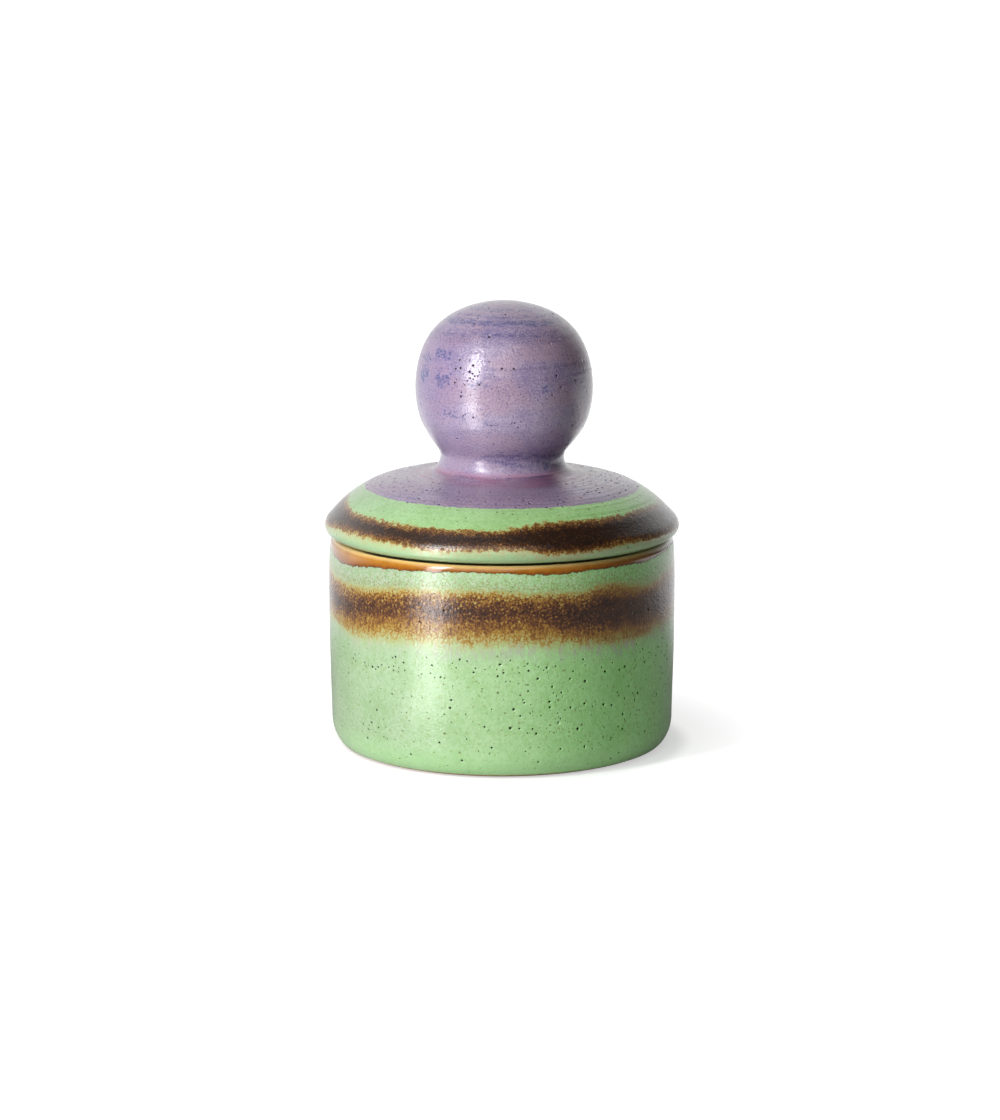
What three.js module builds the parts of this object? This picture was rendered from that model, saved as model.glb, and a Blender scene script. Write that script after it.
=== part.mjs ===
// A stoneware storage jar with a domed lid and a hollow ball knob.
// Millimetres, +Z up. The origin is at the centre of the foot, on the surface that the jar stands on.
// Each piece is turned from its half section: x is the distance from the jar's axis, y the height.

import * as THREE from 'three';

// The jar: a nearly straight wall with a soft belly, a round bottom corner and a low foot ring.
const bodyRadius = 53.65;
const bellySwell = 0.55;
const bellyDrop = 17;
const rimHeight = 66.3;
const jarWall = 4.5;
const floorThickness = 5;
const cornerInset = 5.75;
const cornerRise = 9;
const footWidth = 5;
const footRecess = 1.5;
const floorFillet = 8;
const rimOuterRounding = 2;
const rimInnerRounding = 1.2;

// The lid: a cap that seats on the rim, with a flange that hangs inside the jar's mouth.
const lidOverhang = 1.35;
const lidLowerRounding = 3.3;
const lidUpperRounding = 4.3;
const lidUpperSweep = 38;
const lidRise = 19.4;
const lidThickness = 5;
const domeShoulderFullness = 0.6;
const domeCrownFullness = 0.7;
const flangeThickness = 3.5;
const flangeDepth = 8;
const flangeFillet = 0.8;
const undersideSpring = 4;

// The knob: a hollow ball, longer below its widest part than above it, on a waisted neck.
const knobRadius = 27.3;
const knobLowerRadius = 32;
const knobSideRadius = 29.6;
const knobSideSweep = 21.5;
const knobShoulderRadius = 21.9;
const knobShoulderEnd = 66.3;
const knobWall = 4.5;
const neckRadius = 19.35;
const waistRadius = 5.15;
const knobFootAngle = 45;

// Fits between the pieces.
const seatGap = 0.3;
const lutingGap = 0.3;
const flangeClearance = 1;

// Fineness of the facets: how far a chord may lie inside its arc, and the steps round the axis.
const chordError = 0.08;
const facetsRound = 60;

// Places that follow from the sizes above.
const mouthRadius = bodyRadius - jarWall;
const footRadius = bodyRadius - cornerInset;
const seatHeight = rimHeight + seatGap;
const lidRadius = bodyRadius + lidOverhang;
const lidEdgeHeight = seatHeight + lidLowerRounding;
const flangeRadius = mouthRadius - flangeClearance;
const flangeBore = flangeRadius - flangeThickness;
const crownHeight = lidEdgeHeight + lidRise - lidLowerRounding;
const neckBore = neckRadius - knobWall;
const waist = new THREE.Vector2(neckRadius + waistRadius, crownHeight + waistRadius);
const knobFootHeight = waist.y - waistRadius * Math.sin(radians(knobFootAngle));

function radians(degrees) {
  return THREE.MathUtils.degToRad(degrees);
}

function point(x, y) {
  return new THREE.Vector2(x, y);
}

// A point at a distance and an angle from a centre, with 0 degrees outwards and 90 degrees up.
function polar(centre, radius, degrees) {
  const angle = radians(degrees);
  return point(centre.x + radius * Math.cos(angle), centre.y + radius * Math.sin(angle));
}

// The number of chords that keep an arc within the chord error.
function chords(radius, sweepDegrees) {
  const step = 2 * Math.acos(1 - Math.min(chordError / radius, 0.5));
  return Math.max(2, Math.ceil(Math.abs(radians(sweepDegrees)) / step));
}

// Points along an ellipse arc. A circle has one radius for both directions.
function arc(centre, from, to, radiusAcross, radiusUp = radiusAcross) {
  const steps = chords(Math.max(radiusAcross, radiusUp), to - from);
  const ellipse = new THREE.EllipseCurve(
    centre.x, centre.y, radiusAcross, radiusUp, radians(from), radians(to), to < from,
  );
  return ellipse.getPoints(steps);
}

// Turns a half section round the vertical axis into a named solid.
function turned(name, section, material) {
  const distinct = section.filter((p, i) => i === 0 || p.distanceTo(section[i - 1]) > 1e-4);
  const geometry = new THREE.LatheGeometry(distinct, facetsRound);
  geometry.rotateX(Math.PI / 2);
  const mesh = new THREE.Mesh(geometry, material);
  mesh.name = name;
  return mesh;
}

// One side of the jar's wall, from its foot end up to its rim end, on the outside or moved inwards.
function wallCurve(lowest, highest, inset) {
  const wallSteps = 6;
  const belly = point(bodyRadius + 2 * bellySwell - inset, rimHeight - bellyDrop);
  const curve = new THREE.QuadraticBezierCurve(
    point(bodyRadius - inset, lowest), belly, point(bodyRadius - inset, highest),
  );
  return curve.getPoints(wallSteps);
}

function jar(material) {
  const footBore = footRadius - footWidth;
  const floorTop = footRecess + floorThickness;
  const section = [
    point(0, footRecess),
    point(footBore - footRecess, footRecess),
    point(footBore, 0),
    ...arc(point(footRadius, cornerRise), -90, 0, cornerInset, cornerRise),
    ...wallCurve(cornerRise, rimHeight - rimOuterRounding, 0),
    ...arc(point(bodyRadius - rimOuterRounding, rimHeight - rimOuterRounding), 0, 90, rimOuterRounding),
    ...arc(point(mouthRadius + rimInnerRounding, rimHeight - rimInnerRounding), 90, 180, rimInnerRounding),
    ...wallCurve(floorTop + floorFillet, rimHeight - rimInnerRounding, jarWall).reverse(),
    ...arc(point(mouthRadius - floorFillet, floorTop + floorFillet), 0, -90, floorFillet),
    point(0, floorTop),
  ];
  return turned('jar', section, material);
}

// The lid's visible dome: it leaves the rounded edge on the edge's own slope and runs out level at the neck.
function domeCurve() {
  const domeSteps = 8;
  const edge = point(lidRadius - lidUpperRounding, lidEdgeHeight);
  const start = polar(edge, lidUpperRounding, lidUpperSweep);
  const end = point(waist.x, crownHeight);
  const reach = (end.y - start.y) / Math.cos(radians(lidUpperSweep));
  const meeting = polar(start, reach, lidUpperSweep + 90);
  return new THREE.CubicBezierCurve(
    start,
    start.clone().lerp(meeting, domeShoulderFullness),
    end.clone().lerp(meeting, domeCrownFullness),
    end,
  ).getPoints(domeSteps);
}

function lid(material) {
  const bossHeight = knobFootHeight - lutingGap;
  const bossAngle = 180 + Math.asin((waist.y - bossHeight) / waistRadius) * THREE.MathUtils.RAD2DEG;
  const tipRounding = flangeThickness / 2;
  const springHeight = seatHeight + undersideSpring;
  const undersideHeight = crownHeight - lidThickness;
  const section = [
    point(neckBore, bossHeight),
    point(neckBore, undersideHeight),
    ...arc(point(neckBore, springHeight), 90, 0, flangeBore - neckBore, undersideHeight - springHeight),
    ...arc(point(flangeRadius - tipRounding, seatHeight - flangeDepth + tipRounding), 180, 360, tipRounding),
    ...arc(point(flangeRadius + flangeFillet, seatHeight - flangeFillet), 180, 90, flangeFillet),
    ...arc(point(lidRadius - lidLowerRounding, lidEdgeHeight), -90, 0, lidLowerRounding),
    ...arc(point(lidRadius - lidUpperRounding, lidEdgeHeight), 0, lidUpperSweep, lidUpperRounding),
    ...domeCurve(),
    ...arc(waist, 270, bossAngle, waistRadius),
    point(neckBore, bossHeight),
  ];
  return turned('lid', section, material);
}

// One face of the knob from its foot to its top, on the outside or moved inwards by the wall.
// Every arc runs on smoothly from the one before it.
function knobFace(inset) {
  const lowerCentreX = knobRadius - knobLowerRadius;
  const centreDistance = knobLowerRadius + waistRadius;
  const rise = Math.sqrt(centreDistance ** 2 - (waist.x - lowerCentreX) ** 2);
  const widest = waist.y + rise;
  const lowerStart = -Math.asin(rise / centreDistance) * THREE.MathUtils.RAD2DEG;
  const side = point(knobRadius - knobSideRadius, widest);
  const shoulder = polar(side, knobSideRadius - knobShoulderRadius, knobSideSweep);
  const crownEnd = polar(shoulder, knobShoulderRadius, knobShoulderEnd);
  const crownRadius = crownEnd.x / Math.cos(radians(knobShoulderEnd));
  const crown = polar(crownEnd, -crownRadius, knobShoulderEnd);
  return [
    ...arc(waist, 180 + (inset > 0 ? 0 : knobFootAngle), 180 + lowerStart, waistRadius + inset),
    ...arc(point(lowerCentreX, widest), lowerStart, 0, knobLowerRadius - inset),
    ...arc(side, 0, knobSideSweep, knobSideRadius - inset),
    ...arc(shoulder, knobSideSweep, knobShoulderEnd, knobShoulderRadius - inset),
    ...arc(crown, knobShoulderEnd, 90, crownRadius - inset),
  ];
}

function knob(material) {
  const section = [
    ...knobFace(knobWall).reverse(),
    point(neckBore, knobFootHeight),
    ...knobFace(0),
  ];
  section[0].x = 0;
  section[section.length - 1].x = 0;
  return turned('knob', section, material);
}

const greenGlaze = new THREE.MeshStandardMaterial({ color: 0x86bb78, roughness: 0.42, metalness: 0 });
const shoulderGlaze = new THREE.MeshStandardMaterial({ color: 0x84b274, roughness: 0.35, metalness: 0 });
const mauveGlaze = new THREE.MeshStandardMaterial({ color: 0x8d7596, roughness: 0.38, metalness: 0 });

const storageJar = new THREE.Group();
storageJar.add(jar(greenGlaze), lid(shoulderGlaze), knob(mauveGlaze));

export default storageJar;
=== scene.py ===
"""The looks of the stoneware storage jar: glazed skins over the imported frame, a floor and studio light.

Sizes in the outlines, the reliefs and the glaze patterns are in millimetres, and become metres when a
mesh is made. An angle round the jar is 0 at the front, which faces -Y, and grows towards +X.
"""

import math
import random

import bpy
import numpy as np
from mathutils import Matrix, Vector, noise
from mathutils.geometry import delaunay_2d_cdt


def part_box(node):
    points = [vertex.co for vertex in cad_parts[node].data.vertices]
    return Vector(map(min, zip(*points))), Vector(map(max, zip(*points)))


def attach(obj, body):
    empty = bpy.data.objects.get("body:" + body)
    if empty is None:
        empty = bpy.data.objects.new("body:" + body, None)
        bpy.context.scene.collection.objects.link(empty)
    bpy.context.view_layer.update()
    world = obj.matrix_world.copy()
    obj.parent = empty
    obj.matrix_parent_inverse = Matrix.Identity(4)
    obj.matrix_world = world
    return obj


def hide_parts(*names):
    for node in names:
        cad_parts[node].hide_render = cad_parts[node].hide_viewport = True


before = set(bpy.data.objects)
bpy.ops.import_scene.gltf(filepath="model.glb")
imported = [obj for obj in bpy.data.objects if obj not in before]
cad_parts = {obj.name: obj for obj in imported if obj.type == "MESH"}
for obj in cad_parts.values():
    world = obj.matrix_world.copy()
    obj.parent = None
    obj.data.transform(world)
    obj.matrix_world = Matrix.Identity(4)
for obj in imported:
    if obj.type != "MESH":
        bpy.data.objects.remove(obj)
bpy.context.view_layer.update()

MM = 0.001

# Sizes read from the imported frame.
RIM_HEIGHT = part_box("jar")[1].z / MM
BELLY_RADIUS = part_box("jar")[1].x / MM
LID_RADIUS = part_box("lid")[1].x / MM
FLANGE_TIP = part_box("lid")[0].z / MM
KNOB_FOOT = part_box("knob")[0].z / MM
KNOB_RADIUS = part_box("knob")[1].x / MM

# The jar's own sizes, as the frame's solids have them.
BELLY_SWELL = 0.55
BODY_RADIUS = BELLY_RADIUS - BELLY_SWELL
JAR_WALL = 4.5
MOUTH_RADIUS = BODY_RADIUS - JAR_WALL
RIM_ROUNDING = 2.0
MOUTH_ROUNDING = 1.2
FLOOR_TOP = 6.5
FLOOR_FILLET = 8.0
CORNER_INSET = 5.75
FOOT_RADIUS = BODY_RADIUS - CORNER_INSET
FOOT_WIDTH = 5.0
FOOT_RECESS = 1.5
CORNER_RISE = 9.0
GLAZE_STEP = 0.22

# The lid's and the knob's sizes.
SEAT_GAP = 0.3
SEAT_HEIGHT = RIM_HEIGHT + SEAT_GAP
LOWER_ROUNDING = 3.3
UPPER_ROUNDING = 4.3
UPPER_SWEEP = 38.0
EDGE_HEIGHT = SEAT_HEIGHT + LOWER_ROUNDING
CROWN_RISE = 16.1
CROWN_HEIGHT = EDGE_HEIGHT + CROWN_RISE
LID_THICKNESS = 5.0
UNDERSIDE_SPRING = 4.0
NECK_RADIUS = 19.35
WAIST_ROUNDING = 5.15
WAIST = (NECK_RADIUS + WAIST_ROUNDING, CROWN_HEIGHT + WAIST_ROUNDING)
KNOB_WALL = 4.5
KNOB_LEAN = 0.65
NECK_BORE = NECK_RADIUS - KNOB_WALL
FLANGE_CLEARANCE = 1.0
FLANGE_THICKNESS = 3.5
FLANGE_FILLET = 0.8
FLANGE_RADIUS = MOUTH_RADIUS - FLANGE_CLEARANCE
FLANGE_BORE = FLANGE_RADIUS - FLANGE_THICKNESS
JOINT_ANGLE = 225.0


def linear(code):
    """A linear colour from a hexadecimal screen colour. Anything else stays as it is."""
    if not isinstance(code, int):
        return code
    parts = [(code >> shift & 255) / 255 for shift in (16, 8, 0)]
    return [c / 12.92 if c <= 0.04045 else ((c + 0.055) / 1.055) ** 2.4 for c in parts] + [1.0]


class Outline:
    """The half section of a turned piece: (distance from the axis, height) points, each with its finish."""

    def __init__(self):
        self.points = []
        self.finishes = []
        self.creases = set()

    def add(self, points, finish):
        for r, z in points:
            if self.points and math.dist(self.points[-1], (r, z)) < 1e-4:
                continue
            self.points.append((r, z))
            self.finishes.append(finish)

    def line(self, start, end, step, finish):
        count = max(1, round(math.dist(start, end) / step))
        shares = range(count + 1)
        self.add([tuple(a + (b - a) * i / count for a, b in zip(start, end)) for i in shares], finish)

    def arc(self, centre, start, end, across, step, finish, up=None):
        up = across if up is None else up
        sweep = math.radians(end - start)
        count = max(2, math.ceil(abs(sweep) * max(across, up) / step))
        angles = [math.radians(start) + sweep * i / count for i in range(count + 1)]
        self.add([(centre[0] + across * math.cos(a), centre[1] + up * math.sin(a)) for a in angles], finish)

    def bezier(self, controls, step, finish):
        a, b, c, d = (np.array(p) for p in controls)
        count = math.ceil(np.linalg.norm(d - a) * 1.05 / step)
        t = np.linspace(0, 1, count + 1)[:, None]
        curve = (1 - t) ** 3 * a + 3 * (1 - t) ** 2 * t * b + 3 * (1 - t) * t**2 * c + t**3 * d
        self.add([tuple(p) for p in curve], finish)

    def crease(self):
        """Keeps the corner at the newest point sharp in the shading."""
        self.creases.add(len(self.points) - 1)


def add_object(name, data):
    made = bpy.data.objects.new(name, data)
    bpy.context.scene.collection.objects.link(made)
    return made


def rows_of(outline):
    """Arrays along the outline: points, distance run, outward normals."""
    points = np.array(outline.points)
    steps = np.linalg.norm(np.diff(points, axis=0), axis=1)
    run = np.concatenate([[0], np.cumsum(steps)])
    ahead = np.gradient(points, run, axis=0)
    ahead /= np.linalg.norm(ahead, axis=1)[:, None]
    normals = np.stack([ahead[:, 1], -ahead[:, 0]], 1)
    return points, run, normals


def turned(name, outline, columns, materials, pits, relief):
    """A closed mesh turned from an outline. Each pit is (angle, distance run, radius, depth), a small
    crater in the glaze with its own rings of vertices. relief(angle, r, z, run) gives how far the surface
    stands out, in millimetres, and the pattern of its throwing rings."""
    points, run, normals = rows_of(outline)
    last = len(points) - 1
    loops = math.dist(points[0], points[-1]) < 1e-3
    rows = np.arange(len(points))
    pit_at = np.array([[math.radians(p[0]), p[1], p[2]] for p in pits]).reshape(-1, 3)

    plane, vertex_of = [], []
    angle_of, run_of, row_of, depth_of, pit_of = [], [], [], [], []

    def new_vertex(angle, along, row, depth, pit):
        angle_of.append(angle)
        run_of.append(along)
        row_of.append(row)
        depth_of.append(depth)
        pit_of.append(pit)
        return len(angle_of) - 1

    def place(column, row, vertex):
        plane.append(Vector((column, row * math.sqrt(0.75))))
        vertex_of.append(vertex)

    first_row = {}
    for row in rows:
        r, along = points[row][0], run[row]
        shift = 0.5 if row % 2 and row != last else 0.0
        steps = [0.0, *(i + shift for i in range(columns) if i + shift > 0), float(columns)]
        turns = np.array(steps) / columns * math.tau - math.pi
        clear = np.ones(len(steps), bool)
        if len(pit_at) and 0 < row < last:
            near = np.abs(pit_at[:, 1] - along) < pit_at[:, 2] * 2.6
            for angle, at, radius in pit_at[near]:
                gap = np.hypot((turns - angle) * r, along - at)
                clear &= gap > radius * 2.5
        seam = None
        for column, turn, free in zip(steps, turns, clear):
            if not free:
                continue
            if row == last and loops:
                vertex = first_row[column % columns]
            elif r < 1e-6 and seam is not None:
                vertex = seam
            elif column == columns:
                vertex = seam
            else:
                vertex = new_vertex(turn, along, row, 0.0, 0.0)
            seam = vertex if seam is None else seam
            if row == 0:
                first_row[column] = vertex
            place(column, row, vertex)
    for degrees, at, radius, depth in pits:
        angle = math.radians(degrees)
        r = np.interp(at, run, points[:, 0])
        for share, count, sunk, dark in CRATER:
            for i in range(count):
                turn = math.tau * (i + 0.5 * (share > 1)) / count
                across = share * radius * math.cos(turn)
                along = at + share * radius * math.sin(turn)
                row = np.interp(along, run, rows)
                vertex = new_vertex(angle + across / r, along, row, -sunk * depth, dark)
                place((angle + across / r + math.pi) / math.tau * columns, row, vertex)

    made = delaunay_2d_cdt(plane, [], [], 0, 1e-7, True)
    source = [ids[0] for ids in made[3]]
    faces, face_rows = [], []
    for face in made[2]:
        corners = [vertex_of[source[i]] for i in face]
        if len(set(corners)) == 3:
            faces.append(corners)
            face_rows.append(min(made[0][i].y for i in face) / math.sqrt(0.75))

    angle = np.array(angle_of)
    along = np.array(run_of)
    r = np.interp(along, run, points[:, 0])
    z = np.interp(along, run, points[:, 1])
    out_r = np.interp(along, run, normals[:, 0])
    out_z = np.interp(along, run, normals[:, 1])
    stand, ring = relief(angle, r, z, along)
    stand = stand + np.array(depth_of)
    r_out = np.where(r < 1e-6, 0.0, r + stand * out_r)
    z_out = z + stand * out_z
    places = np.stack([r_out * np.sin(angle), -r_out * np.cos(angle), z_out], 1) * MM

    mesh = bpy.data.meshes.new(name)
    mesh.from_pydata(places.tolist(), [], faces)
    for attribute, values in (("pit", pit_of), ("ring", ring)):
        layer = mesh.attributes.new(attribute, "FLOAT", "POINT")
        layer.data.foreach_set("value", np.asarray(values, np.float32))
    finish_names = list(materials)
    picks = [finish_names.index(outline.finishes[min(int(round(row, 3)) + 1, last)]) for row in face_rows]
    for material in materials.values():
        mesh.materials.append(material)
    mesh.polygons.foreach_set("material_index", picks)
    mesh.polygons.foreach_set("use_smooth", [True] * len(mesh.polygons))
    on_crease = {i for i, row in enumerate(row_of) if row in outline.creases}
    if on_crease:
        sharp = [e.vertices[0] in on_crease and e.vertices[1] in on_crease for e in mesh.edges]
        mesh.attributes.new("sharp_edge", "BOOLEAN", "EDGE").data.foreach_set("value", sharp)
    mesh.update()
    return add_object(name, mesh)


def waves(angle, z, size, seed):
    """Smooth random waves over a turned surface, from -1 to 1. size is a wave's width in millimetres."""
    offset = Vector((seed * 17.3, seed * 5.1, seed * 9.7))
    spots = np.stack([40 * np.sin(angle), -40 * np.cos(angle), z], 1) / size
    return np.array([noise.noise(Vector(p) + offset) for p in spots])


# The angles of a field of pits that goes round the piece and stays clear of the seam at the back.
ALL_ROUND = (-177, 177)

# A glaze pit's rings of vertices: share of its radius, vertices, share of its depth, darkness of the
# painted shade in its hollow.
CRATER = [
    (0.0, 1, 1.0, 1.0), (0.42, 6, 0.97, 1.0), (0.80, 10, 0.75, 1.0), (0.98, 12, 0.40, 0.9),
    (1.08, 12, 0.31, 0.0), (1.34, 14, 0.17, 0.0), (1.62, 14, 0.06, 0.0), (1.90, 14, 0.01, 0.0),
    (2.20, 14, 0.0, 0.0),
]


def scattered_pits(outline, fields):
    """The pits of all fields, clear of one another. A field is (seed, count, two (distance from the axis,
    height) places on the outline, two radii, two angles)."""
    pits = []
    for seed, count, ends, radii, sides in fields:
        add_pits(pits, seed, outline, count, ends, radii, sides)
    return pits


def add_pits(pits, seed, outline, count, ends, radii, sides):
    points, run, _ = rows_of(outline)
    start, end = (run[np.linalg.norm(points - np.array(place), axis=1).argmin()] for place in ends)
    widest = points[(run >= min(start, end)) & (run <= max(start, end)), 0].max()
    draw = random.Random(seed)
    wanted = len(pits) + count
    for _ in range(count * 20):
        if len(pits) == wanted:
            break
        angle = draw.uniform(*sides)
        at = draw.uniform(start, end)
        radius = radii[0] + (radii[1] - radii[0]) * draw.random() ** 1.8
        depth = radius * draw.uniform(1.5, 2.1)
        r = np.interp(at, run, points[:, 0])
        if draw.uniform(0, widest) > r:
            continue
        if all(math.hypot(math.radians(angle - a) * r, at - s) > 2.3 * (radius + q) for a, s, q, _ in pits):
            pits.append((angle, at, radius, depth))


# The distance from the axis, in millimetres, at which ring_noise has its stated length.
RING_REACH = 30.0


class Shader:
    """The nodes of a material or a world. Most methods add nodes and return an output socket."""

    def __init__(self, owner):
        owner.use_nodes = True
        self.owner = owner
        self.tree = owner.node_tree
        self.tree.nodes.clear()

    def node(self, kind, inputs, output=0, **settings):
        made = self.tree.nodes.new(kind)
        for key, value in settings.items():
            setattr(made, key, value)
        for key, value in inputs.items():
            if isinstance(value, bpy.types.NodeSocket):
                self.tree.links.new(value, made.inputs[key])
            else:
                made.inputs[key].default_value = value
        return made.outputs[output]

    def math(self, operation, a, b=0.0):
        return self.node("ShaderNodeMath", {0: a, 1: b}, operation=operation)

    def add(self, a, b):
        return self.math("ADD", a, b)

    def sub(self, a, b):
        return self.math("SUBTRACT", a, b)

    def mul(self, a, b):
        return self.math("MULTIPLY", a, b)

    def least(self, a, b):
        return self.math("MINIMUM", a, b)

    def most(self, a, b):
        return self.math("MAXIMUM", a, b)

    def vector_math(self, operation, a, b):
        return self.node("ShaderNodeVectorMath", {0: a, 1: b}, operation=operation)

    def grade(self, value, start, end, low=0.0, high=1.0, soft=True):
        """Low up to start, high from end on, and a smooth rise between them. start may lie above end."""
        kind = "SMOOTHSTEP" if soft else "LINEAR"
        keys = {"Value": value, "From Min": start, "From Max": end, "To Min": low, "To Max": high}
        return self.node("ShaderNodeMapRange", keys, interpolation_type=kind)

    def mix(self, share, a, b):
        return self.node("ShaderNodeMix", {0: share, 6: linear(a), 7: linear(b)}, 2, data_type="RGBA")

    def blend(self, share, a, b):
        return self.node("ShaderNodeMix", {0: share, 2: a, 3: b}, 0, data_type="FLOAT")

    def ramp(self, value, stops, interpolation="LINEAR"):
        made = self.tree.nodes.new("ShaderNodeValToRGB")
        made.color_ramp.interpolation = interpolation
        elements = made.color_ramp.elements
        while len(elements) < len(stops):
            elements.new(0.5)
        for element, (at, colour) in zip(elements, stops):
            element.position = at
            element.color = [colour] * 3 + [1.0] if isinstance(colour, float) else linear(colour)
        self.tree.links.new(value, made.inputs[0])
        return made.outputs[0]

    def attribute(self, name):
        return self.node("ShaderNodeAttribute", {}, 2, attribute_name=name)

    def vector(self, x, y, z):
        return self.node("ShaderNodeCombineXYZ", {0: x, 1: y, 2: z})

    def place(self, middle=None):
        """Object coordinates in millimetres, their parts, the distance from the axis and the turn from 0 to
        1. along is the distance from the axis, or on a ball the distance over it from its top."""
        spot = self.tree.nodes.new("ShaderNodeTexCoord").outputs["Object"]
        self.spot = self.node("ShaderNodeVectorMath", {0: spot, 3: 1 / MM}, operation="SCALE")
        split = self.tree.nodes.new("ShaderNodeSeparateXYZ")
        self.tree.links.new(self.spot, split.inputs[0])
        self.x, self.y, self.z = split.outputs
        squares = self.add(self.mul(self.x, self.x), self.mul(self.y, self.y))
        self.r = self.math("SQRT", squares)
        angle = self.math("ARCTAN2", self.x, self.mul(self.y, -1.0))
        self.turn = self.add(self.mul(angle, 1 / math.tau), 0.5)
        self.along = self.r
        if middle is not None:
            climb = self.sub(self.z, middle)
            self.along = self.mul(self.math("ARCTAN2", self.r, climb), KNOB_RADIUS)

    def noise(self, size, tall=1.0, detail=2.0, roughness=0.5, seed=0.0):
        """Noise with features about size millimetres wide, stretched along the axis by tall."""
        spot = self.vector_math("MULTIPLY", self.spot, (1.0, 1.0, 1 / tall)) if tall != 1.0 else self.spot
        return self.noise_at(spot, 1 / size, detail, roughness, seed)

    def swing(self, strength, *sizes, **settings):
        """Noise round 0, times a strength."""
        return self.mul(self.sub(self.noise(*sizes, **settings), 0.5), strength)

    def ring_noise(self, size, wide, detail=2.0, roughness=0.5, seed=0.0):
        """Noise in fine turned lines: size millimetres across, and wide times as long round the axis."""
        away = self.most(self.r, 0.01)
        circle = RING_REACH / (size * wide)
        across = self.mul(self.math("DIVIDE", self.x, away), circle)
        back = self.mul(self.math("DIVIDE", self.y, away), circle)
        spot = self.vector(across, back, self.mul(self.along, 1 / size))
        return self.noise_at(spot, 1.0, detail, roughness, seed)

    def noise_at(self, spot, scale, detail, roughness, seed):
        moved = self.vector_math("ADD", spot, (seed * 31.7, seed * 13.1, seed * 7.9))
        keys = {"Vector": moved, "Scale": scale, "Detail": detail, "Roughness": roughness}
        return self.node("ShaderNodeTexNoise", keys)

    def cells(self, size, seed=0.0):
        """A cell pattern: the distance to the nearest cell's middle, and the cell's random colour."""
        moved = self.vector_math("ADD", self.spot, (seed * 3.3, seed * 8.7, seed * 5.9))
        made = self.tree.nodes.new("ShaderNodeTexVoronoi")
        made.inputs["Scale"].default_value = 1 / size
        self.tree.links.new(moved, made.inputs["Vector"])
        return made.outputs["Distance"], made.outputs["Color"]

    def dots(self, spacing, size, seed=0.0, few=1.5, edge=0.5):
        """Round specks of random sizes up to size across, about spacing millimetres apart. edge is how much
        of a speck's radius is plain, from 0, soft, to 1, sharp."""
        away, tint = self.cells(spacing, seed)
        pick = self.node("ShaderNodeSeparateColor", {0: tint})
        reach = self.mul(self.math("POWER", pick, few), size / 2)
        return self.grade(self.mul(away, spacing), reach, self.mul(reach, edge))

    def leopard(self, size, seed=0.0):
        """A net of dark lines round pale cells, from about -0.5 in a cell's middle to 0.5 on the net."""
        away, _ = self.cells(size, seed)
        net = self.grade(away, 0.12, 0.62, -0.5, 0.5, soft=False)
        grain = self.sub(self.noise(size * 0.6, detail=2, roughness=0.6, seed=seed + 0.5), 0.5)
        return self.add(self.mul(net, 0.35), self.mul(grain, 1.6))

    def around(self, stops):
        """A value that changes round the jar, by (angle in degrees, value) stops from back to back."""
        values = [h for _, h in stops]
        low, high = min(values), max(values)
        grey = [((a + 180) / 360, (h - low) / (high - low)) for a, h in stops]
        return self.grade(self.ramp(self.turn, grey, "CARDINAL"), 0.0, 1.0, low, high, soft=False)

    def patch(self, angle, height, half_angle, half_height, ragged):
        """1 in the middle of an oval patch, and 0 outside it. ragged is noise round 0 for its edge."""
        across = self.mul(self.sub(self.mul(self.sub(self.turn, 0.5), 360.0), angle), 1 / half_angle)
        up = self.mul(self.sub(self.z, height), 1 / half_height)
        away = self.math("SQRT", self.add(self.mul(across, across), self.mul(up, up)))
        return self.grade(self.add(away, ragged), 1.0, 0.35)

    def bump(self, height, distance, below=None, sunk=False):
        """A normal tilted by a pattern of heights: 0 to 1 stands for 0 to distance millimetres."""
        keys = {"Height": height, "Strength": 1.0, "Distance": distance * MM}
        if below is not None:
            keys["Normal"] = below
        return self.node("ShaderNodeBump", keys, invert=sunk)

    def surface(self, colour, roughness, normal, **sockets):
        keys = {"Base Color": colour, "Roughness": roughness, "Normal": normal}
        keys.update({name.replace("_", " "): value for name, value in sockets.items()})
        shader = self.node("ShaderNodeBsdfPrincipled", keys)
        output = self.tree.nodes.new("ShaderNodeOutputMaterial")
        self.tree.links.new(shader, output.inputs["Surface"])
        return self.owner


def new_material(name):
    return Shader(bpy.data.materials.new(name))


IRON = [
    (0.04, 0xAEB87C), (0.16, 0xA69A56), (0.32, 0x997228),
    (0.48, 0x784E22), (0.66, 0x502E18), (0.90, 0x2A1610),
]

IRON_ON_LID = [
    (0.04, 0xAAB070), (0.16, 0x9C8A4C), (0.32, 0x886430),
    (0.48, 0x66421F), (0.66, 0x442914), (0.90, 0x24150D),
]

# Where the glazes meet on the jar and on the lid, as (angle round the jar, height) stops.
AMBER_FOOT = [
    (-180, 62.8), (-130, 61.6), (-95, 64.4), (-80, 63.4), (-72, 61.9), (-62, 61.2), (-47, 62.5),
    (-26, 63.5), (-10, 64.0), (3, 63.8), (17, 63.2), (28, 63.6), (40, 63.7), (53, 63.5), (65, 64.2),
    (85, 65.0), (110, 63.8), (145, 62.0), (180, 62.8),
]
GOLD_TOP = [
    (-180, 57.0), (-130, 56.0), (-95, 58.8), (-84, 58.6), (-75, 57.2), (-65, 56.1), (-54, 56.0),
    (-38, 57.7), (-10, 59.1), (3, 58.7), (17, 58.1), (27, 58.2), (35, 59.5), (46, 58.4), (57, 57.2),
    (66, 58.4), (76, 59.2), (86, 59.8), (110, 58.0), (145, 56.4), (180, 57.0),
]
DARK_FOOT = [
    (-180, 48.6), (-120, 49.6), (-84, 47.6), (-68, 46.8), (-56, 47.4), (-26, 51.0), (-10, 49.3),
    (3, 50.0), (17, 48.5), (32, 46.2), (62, 46.3), (80, 48.0), (110, 50.2), (145, 47.4), (180, 48.6),
]
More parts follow.
